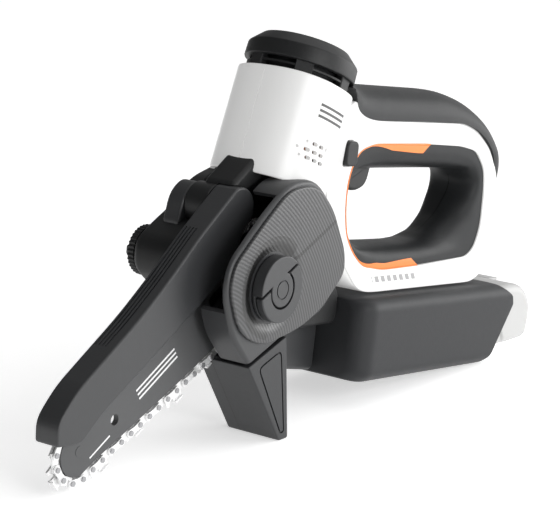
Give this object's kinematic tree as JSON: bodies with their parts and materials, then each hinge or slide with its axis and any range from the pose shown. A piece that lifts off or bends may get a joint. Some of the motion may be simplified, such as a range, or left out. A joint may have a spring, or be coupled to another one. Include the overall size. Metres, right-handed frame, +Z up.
{
  "type": "cordless pruning chainsaw",
  "caption": "Compact cordless chainsaw with a short guide bar, hinged upper chain guard, D handle, side cover with a flip-wing tension knob and a slide-in battery.",
  "frame": {"origin": "centre of the tool's footprint at the level of the surface it stands on", "axes": "+X towards the battery, +Y to the side away from the chain cover, +Z up; the tool stands on its chip chute and the battery housing's rear edge"},
  "size_m": [0.4584, 0.087, 0.2315],
  "materials": {
    "white_shell": "satin white moulding",
    "dark_plastic": "fine textured dark grey moulding",
    "soft_black": "soft matte overmould",
    "orange_inlay": "satin orange",
    "seal_rubber": "orange seal",
    "lead_rubber": "insulated lead",
    "pale_plastic": "pale grey moulding with a white crown",
    "grey_bar": "matte grey coated steel",
    "chain_steel": "bright chain steel",
    "copper_and_iron": "varnished windings",
    "board_green": "lacquered board",
    "black_plastic": "plain black moulding",
    "bright_steel": "turned or pressed steel"
  },
  "bodies": {
    "base": {"shell_left": "white_shell", "shell_right": "white_shell", "gear_housing_left": "dark_plastic", "gear_housing_right": "dark_plastic", "guard_bracket": "dark_plastic", "oil_tank": "dark_plastic", "oil_cap_gasket": "seal_rubber", "oil_pump": "bright_steel", "side_cover": "dark_plastic", "cover_inlay": "soft_black", "bar_stud": "bright_steel", "guide_bar": "grey_bar", "saw_chain": "chain_steel", "nose_hub": "bright_steel", "chip_chute": "dark_plastic", "handle_liner": "soft_black", "grip_top": "soft_black", "trim_upper_left": "orange_inlay", "trim_lower_left": "orange_inlay", "trim_upper_right": "orange_inlay", "trim_lower_right": "orange_inlay", "trigger_pin": "bright_steel", "trigger_spring": "bright_steel", "trigger_switch": "black_plastic", "battery_housing_left": "dark_plastic", "battery_housing_right": "dark_plastic", "terminal_block": "bright_steel", "controller_board": "board_green", "motor_lead": "lead_rubber", "stator": "copper_and_iron", "motor_bearing_bottom": "bright_steel", "motor_bearing_top": "bright_steel", "output_bearing_left": "bright_steel", "output_bearing_right": "bright_steel", "vent_ring": "dark_plastic", "motor_end_cap": "dark_plastic", "guard_spring": "bright_steel"},
    "guard": {"chain_guard": "dark_plastic", "guard_far_arm": "dark_plastic", "guard_pin": "bright_steel"},
    "knob": {"tension_knob": "dark_plastic", "wing_pin": "bright_steel"},
    "wing": {"knob_wing": "dark_plastic"},
    "cap": {"oil_cap": "dark_plastic"},
    "trigger": {"trigger": "dark_plastic"},
    "lock": {"lock_button": "dark_plastic"},
    "pack": {"battery_pack": "pale_plastic"},
    "release": {"battery_button": "orange_inlay"},
    "rotor": {"motor_shaft": "bright_steel", "rotor": "copper_and_iron", "cooling_fan": "black_plastic", "bevel_pinion": "bright_steel"},
    "output": {"output_shaft": "bright_steel", "bevel_gear": "bright_steel", "drive_sprocket": "bright_steel", "sprocket_clip": "bright_steel"},
    "nose": {"nose_sprocket": "bright_steel"}
  },
  "joints": [
    {"name": "guard_hinge", "type": "hinge", "parent": "base", "child": "guard", "pos_m": [-0.08151, 0.0005, 0.13492], "axis": [0, 1, 0], "range_deg": [0, 46], "stiffness_Nm_per_rad": 0.3, "springref_deg": -20.05},
    {"name": "knob_turn", "type": "hinge", "parent": "base", "child": "knob", "pos_m": [-0.07722, 0.0005, 0.09316], "axis": [0, -1, 0], "continuous": true},
    {"name": "wing_flip", "type": "hinge", "parent": "knob", "child": "wing", "pos_m": [-0.07871, -0.0413, 0.09644], "axis": [-0.9101, 0, -0.4145], "range_deg": [0, 95]},
    {"name": "oil_cap_turn", "type": "hinge", "parent": "base", "child": "cap", "pos_m": [-0.09695, 0.0005, 0.10548], "axis": [0, 1, 0], "continuous": true},
    {"name": "trigger_pull", "type": "hinge", "parent": "base", "child": "trigger", "pos_m": [0.03864, 0.0005, 0.1514], "axis": [0, -1, 0], "range_deg": [0, 9], "stiffness_Nm_per_rad": 0.6, "springref_deg": -6.88, "deforming": ["trigger_spring"]},
    {"name": "lock_press", "type": "slide", "parent": "base", "child": "lock", "axis": [0, 1, 0], "range_m": [0, 0.0035], "stiffness_N_per_m": 300, "springref_m": -0.002},
    {"name": "battery_slide", "type": "slide", "parent": "base", "child": "pack", "axis": [0.9935, 0, -0.1134], "range_m": [0, 0.09]},
    {"name": "release_press", "type": "slide", "parent": "pack", "child": "release", "axis": [-0.1134, 0, -0.9935], "range_m": [0, 0.002], "stiffness_N_per_m": 500, "springref_m": -0.001},
    {"name": "rotor_spin", "type": "hinge", "parent": "base", "child": "rotor", "pos_m": [-0.05097, 0.0005, 0.1077], "axis": [0.3909, 0, 0.9204], "continuous": true},
    {"name": "sprocket_spin", "type": "hinge", "parent": "base", "child": "output", "pos_m": [-0.05097, 0.0005, 0.1077], "axis": [0, 1, 0], "continuous": true},
    {"name": "nose_sprocket_spin", "type": "hinge", "parent": "base", "child": "nose", "pos_m": [-0.20536, 0.0005, 0.02217], "axis": [0, 1, 0], "continuous": true}
  ],
  "couplings": [
    {"joint": "sprocket_spin", "follows": "rotor_spin", "ratio": -0.33333},
    {"joint": "nose_sprocket_spin", "follows": "rotor_spin", "ratio": -0.22222}
  ]
}
